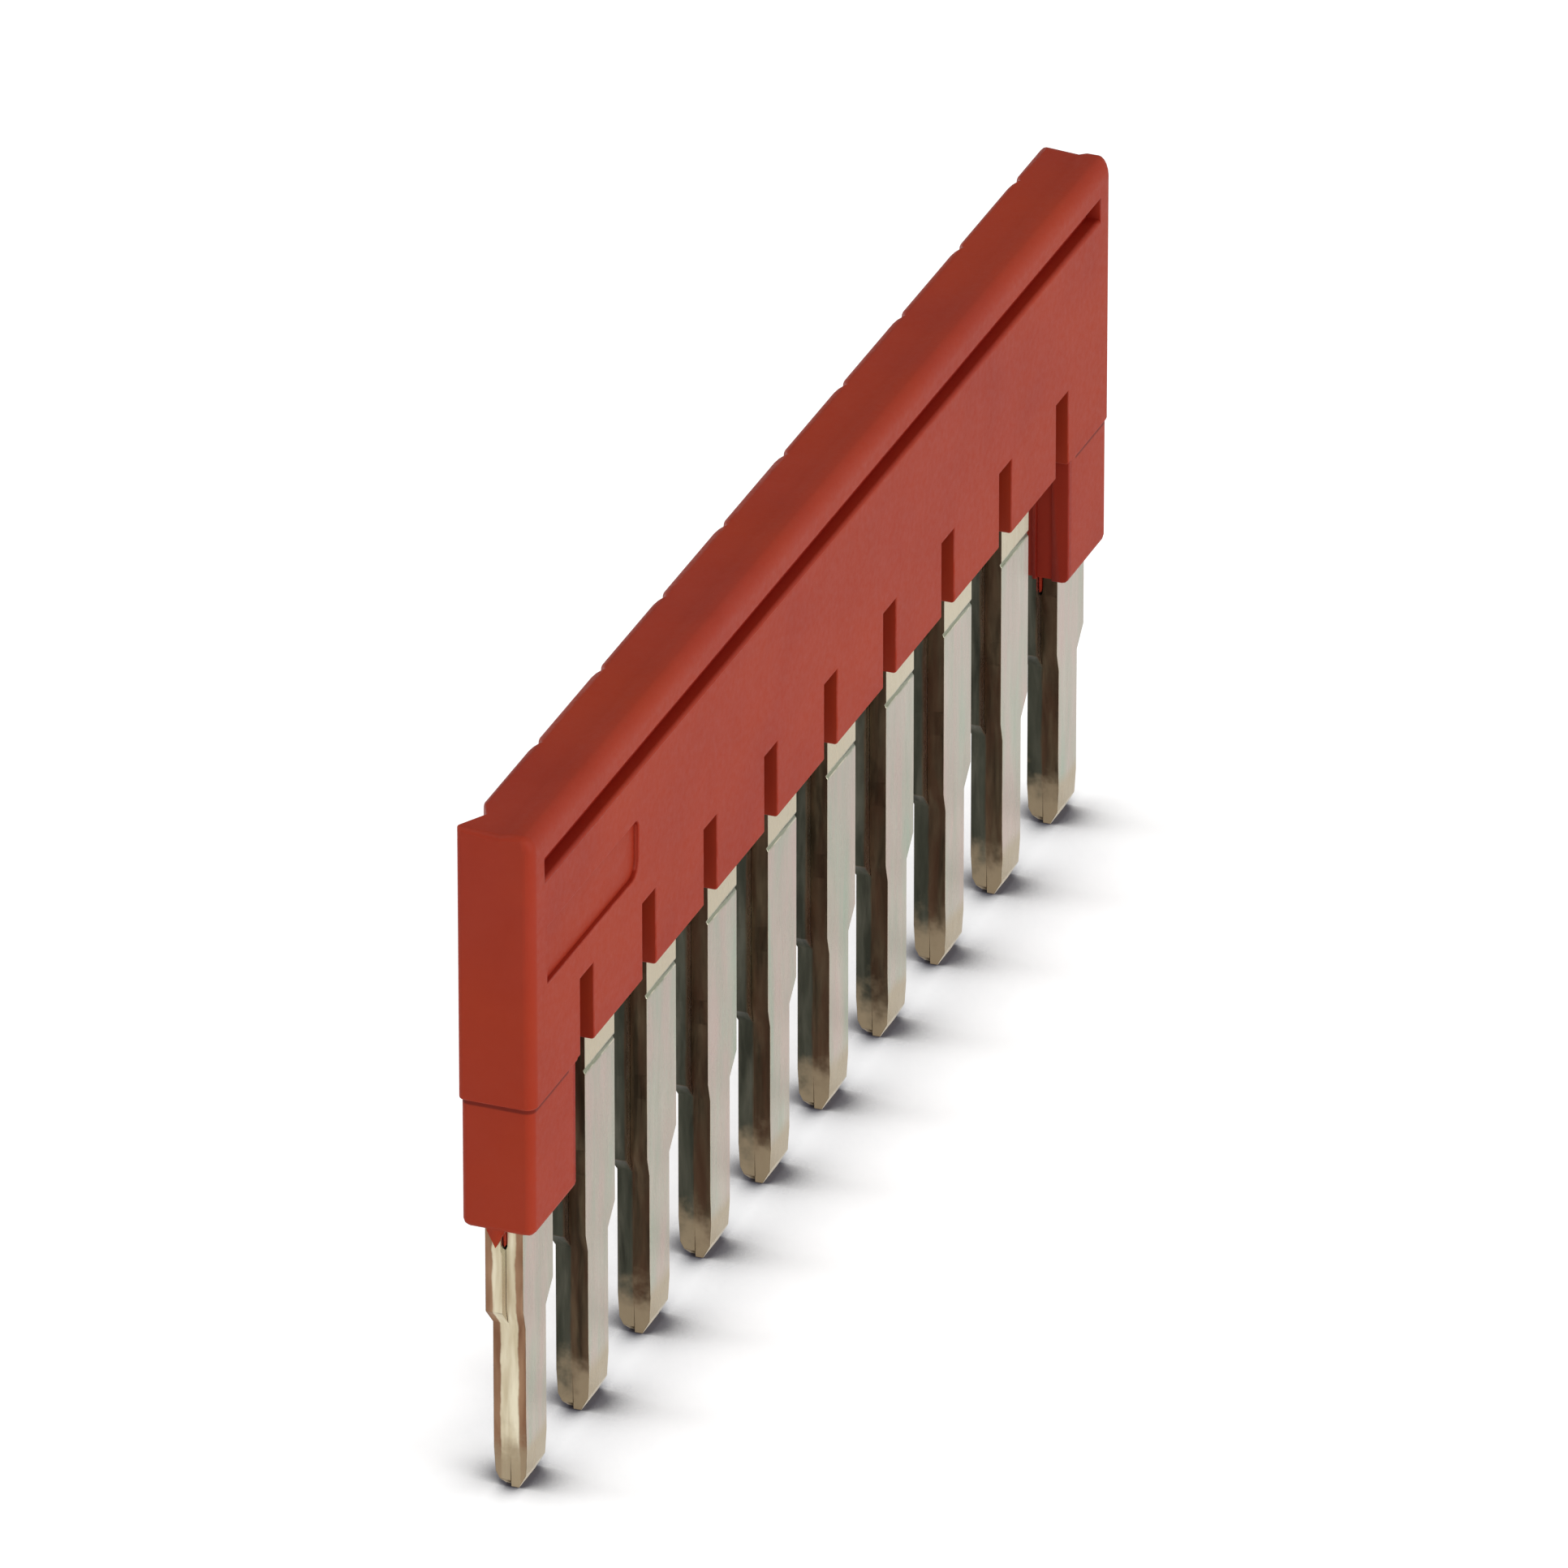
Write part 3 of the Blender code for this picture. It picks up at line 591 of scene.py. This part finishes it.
def makeComb(nodeName, pieceName):
    comb = roundedCopy(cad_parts[nodeName].data, pieceName, combSizes, shapeLeaves)
    comb.data.materials.clear()
    comb.data.materials.append(tinnedFace)
    comb.data.materials.append(shearedEdge)
    for face in comb.data.polygons:
        if abs(face.normal.y) < combSizes["cutEdge"]:
            face.material_index = 1
    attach(comb, "root")
    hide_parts(nodeName)


makeComb("front_contact_comb", "frontContactComb")
makeComb("rear_contact_comb", "rearContactComb")
print("pieces made")


# floor, light and camera

floorSettings = {
    "halfSize": 3.0, "drop": 0.01 * mm, "colour": (0.86, 0.86, 0.86), "roughness": 0.9, "specular": 0.1,
    "shade": (0.15, 0.15, 0.19), "shadeReach": 10 * mm, "shadeStart": 0.985, "shadeFull": 0.46,
    "lift": 0.67, "mirroredShare": 0.4,  # brings the floor to white, and its share in metal
}


def makeFloor():
    half = floorSettings["halfSize"]
    mesh = bpy.data.meshes.new("floor")
    corners = [(-half, -half, 0), (half, -half, 0), (half, half, 0), (-half, half, 0)]
    mesh.from_pydata(corners, [], [(0, 1, 2, 3)])
    floor = bpy.data.objects.new("floor", mesh)
    floor.location.z = -floorSettings["drop"]
    bpy.context.scene.collection.objects.link(floor)
    material, tree = newMaterial("paleFloor")
    output = addNode(tree, "ShaderNodeOutputMaterial", "output", 900, 0)
    shader = addNode(tree, "ShaderNodeBsdfPrincipled", "pale sheet", 600, 0)
    setInputs(shader, {"Roughness": floorSettings["roughness"],
                       "Specular IOR Level": floorSettings["specular"], "Emission Color": (1, 1, 1, 1)})
    near = addNode(tree, "ShaderNodeAmbientOcclusion", "close under the part", -700, 300, samples=16)
    near.inputs["Distance"].default_value = floorSettings["shadeReach"]
    away = addNode(tree, "ShaderNodeMapRange", "away from the part", -450, 300,
                   interpolation_type="SMOOTHSTEP")
    setInputs(away, {"From Min": floorSettings["shadeFull"], "From Max": floorSettings["shadeStart"]})
    tree.links.new(near.outputs["AO"], away.inputs["Value"])
    path = addNode(tree, "ShaderNodeLightPath", "kind of ray", -900, 0)
    mirrored = addNode(tree, "ShaderNodeMath", "mirrored or seen through", -650, -100, operation="MAXIMUM")
    tree.links.new(path.outputs["Is Glossy Ray"], mirrored.inputs[0])
    tree.links.new(path.outputs["Is Transmission Ray"], mirrored.inputs[1])
    plain = addNode(tree, "ShaderNodeMath", "plain floor", -200, 300, operation="MAXIMUM")
    tree.links.new(away.outputs[0], plain.inputs[0])
    tree.links.new(mirrored.outputs[0], plain.inputs[1])
    colour = mixColour(tree, "floor colour", 200, 300, floorSettings["shade"], floorSettings["colour"],
                       plain.outputs[0])
    tree.links.new(colour, shader.inputs["Base Color"])
    seen = addNode(tree, "ShaderNodeMath", "share of lift", -400, 0, operation="MULTIPLY_ADD")
    seen.inputs[1].default_value = floorSettings["mirroredShare"]
    tree.links.new(mirrored.outputs[0], seen.inputs[0])
    tree.links.new(path.outputs["Is Camera Ray"], seen.inputs[2])
    unshaded = addNode(tree, "ShaderNodeMath", "less near the part", -150, 0, operation="MULTIPLY")
    tree.links.new(seen.outputs[0], unshaded.inputs[0])
    tree.links.new(plain.outputs[0], unshaded.inputs[1])
    lift = addNode(tree, "ShaderNodeMath", "lift to white", 100, 0, operation="MULTIPLY")
    lift.inputs[1].default_value = floorSettings["lift"]
    tree.links.new(unshaded.outputs[0], lift.inputs[0])
    tree.links.new(lift.outputs[0], shader.inputs["Emission Strength"])
    tree.links.new(shader.outputs[0], output.inputs["Surface"])
    mesh.materials.append(material)


makeFloor()

skySettings = {"front": 0.52, "back": 0.17, "frontReach": -0.5, "backReach": 0.7,
               "horizon": 0.85, "horizonReach": 0.16}


def makeSky():
    world = bpy.data.worlds.new("softStudio")
    bpy.context.scene.world = world
    world.use_nodes = True
    tree = world.node_tree
    tree.nodes.clear()
    output = addNode(tree, "ShaderNodeOutputWorld", "output", 600, 0)
    background = addNode(tree, "ShaderNodeBackground", "studio wall", 350, 0)
    direction = addNode(tree, "ShaderNodeTexCoord", "direction", -800, 0)
    parts = addNode(tree, "ShaderNodeSeparateXYZ", "along, across, up", -550, 0)
    across = addNode(tree, "ShaderNodeMapRange", "darker behind", -300, 100,
                     interpolation_type="SMOOTHSTEP")
    setInputs(across, {"From Min": skySettings["frontReach"], "From Max": skySettings["backReach"],
                       "To Min": skySettings["front"], "To Max": skySettings["back"]})
    upwards = addNode(tree, "ShaderNodeMapRange", "pale horizon", -300, -200,
                      interpolation_type="SMOOTHSTEP")
    setInputs(upwards, {"From Min": 0.0, "From Max": skySettings["horizonReach"],
                        "To Min": skySettings["horizon"], "To Max": 0.0})
    level = addNode(tree, "ShaderNodeMath", "paler of the two", 0, 0, operation="MAXIMUM")
    tree.links.new(direction.outputs["Generated"], parts.inputs[0])
    tree.links.new(parts.outputs["Y"], across.inputs["Value"])
    tree.links.new(parts.outputs["Z"], upwards.inputs["Value"])
    tree.links.new(across.outputs[0], level.inputs[0])
    tree.links.new(upwards.outputs[0], level.inputs[1])
    tree.links.new(level.outputs[0], background.inputs["Color"])
    tree.links.new(background.outputs[0], output.inputs["Surface"])


makeSky()

lampRows = [
    # name, azimuth to the left of the front, elevation, distance, size, level on a face square to it
    ("frontSoftbox", 12, 11, 0.9, 0.5, 0.385),
    ("leftSoftbox", 90, 8, 0.9, 0.35, 0.15),
    ("backSoftbox", 176, 48, 0.9, 0.45, 0.24),
]
lampTarget = Vector((0, 0, 14 * mm))


def makeLamps():
    for name, azimuth, elevation, distance, size, level in lampRows:
        a, e = math.radians(azimuth), math.radians(elevation)
        towards = Vector((-math.sin(a) * math.cos(e), -math.cos(a) * math.cos(e), math.sin(e)))
        data = bpy.data.lights.new(name, "AREA")
        data.shape = "SQUARE"
        data.size = size
        data.energy = level * math.pi ** 2 * distance ** 2  # watts that give the level at the part
        lamp = bpy.data.objects.new(name, data)
        lamp.location = lampTarget + towards * distance
        lamp.rotation_euler = (-towards).to_track_quat("-Z", "Y").to_euler()
        bpy.context.scene.collection.objects.link(lamp)


makeLamps()
bpy.context.scene.view_settings.view_transform = "Standard"

cameraSettings = {
    "target": (-0.994 * mm, 0.0, 15.43 * mm), "distance": 0.8, "azimuth": -68.96, "elevation": 27.72,
    "focalPixels": 26380, "framePixels": 1932, "sensor": 36.0, "clip": (0.05, 20),
}


def makeCamera():
    data = bpy.data.cameras.new("camera")
    data.sensor_width = cameraSettings["sensor"]
    data.lens = cameraSettings["focalPixels"] / cameraSettings["framePixels"] * cameraSettings["sensor"]
    data.clip_start, data.clip_end = cameraSettings["clip"]
    camera = bpy.data.objects.new("camera", data)
    a, e = math.radians(cameraSettings["azimuth"]), math.radians(cameraSettings["elevation"])
    looking = Vector((-math.sin(a) * math.cos(e), math.cos(a) * math.cos(e), -math.sin(e)))
    camera.location = Vector(cameraSettings["target"]) - looking * cameraSettings["distance"]
    camera.rotation_euler = (math.pi / 2 - e, 0, a)
    bpy.context.scene.collection.objects.link(camera)
    bpy.context.scene.camera = camera


makeCamera()
print("floor, light and camera made")
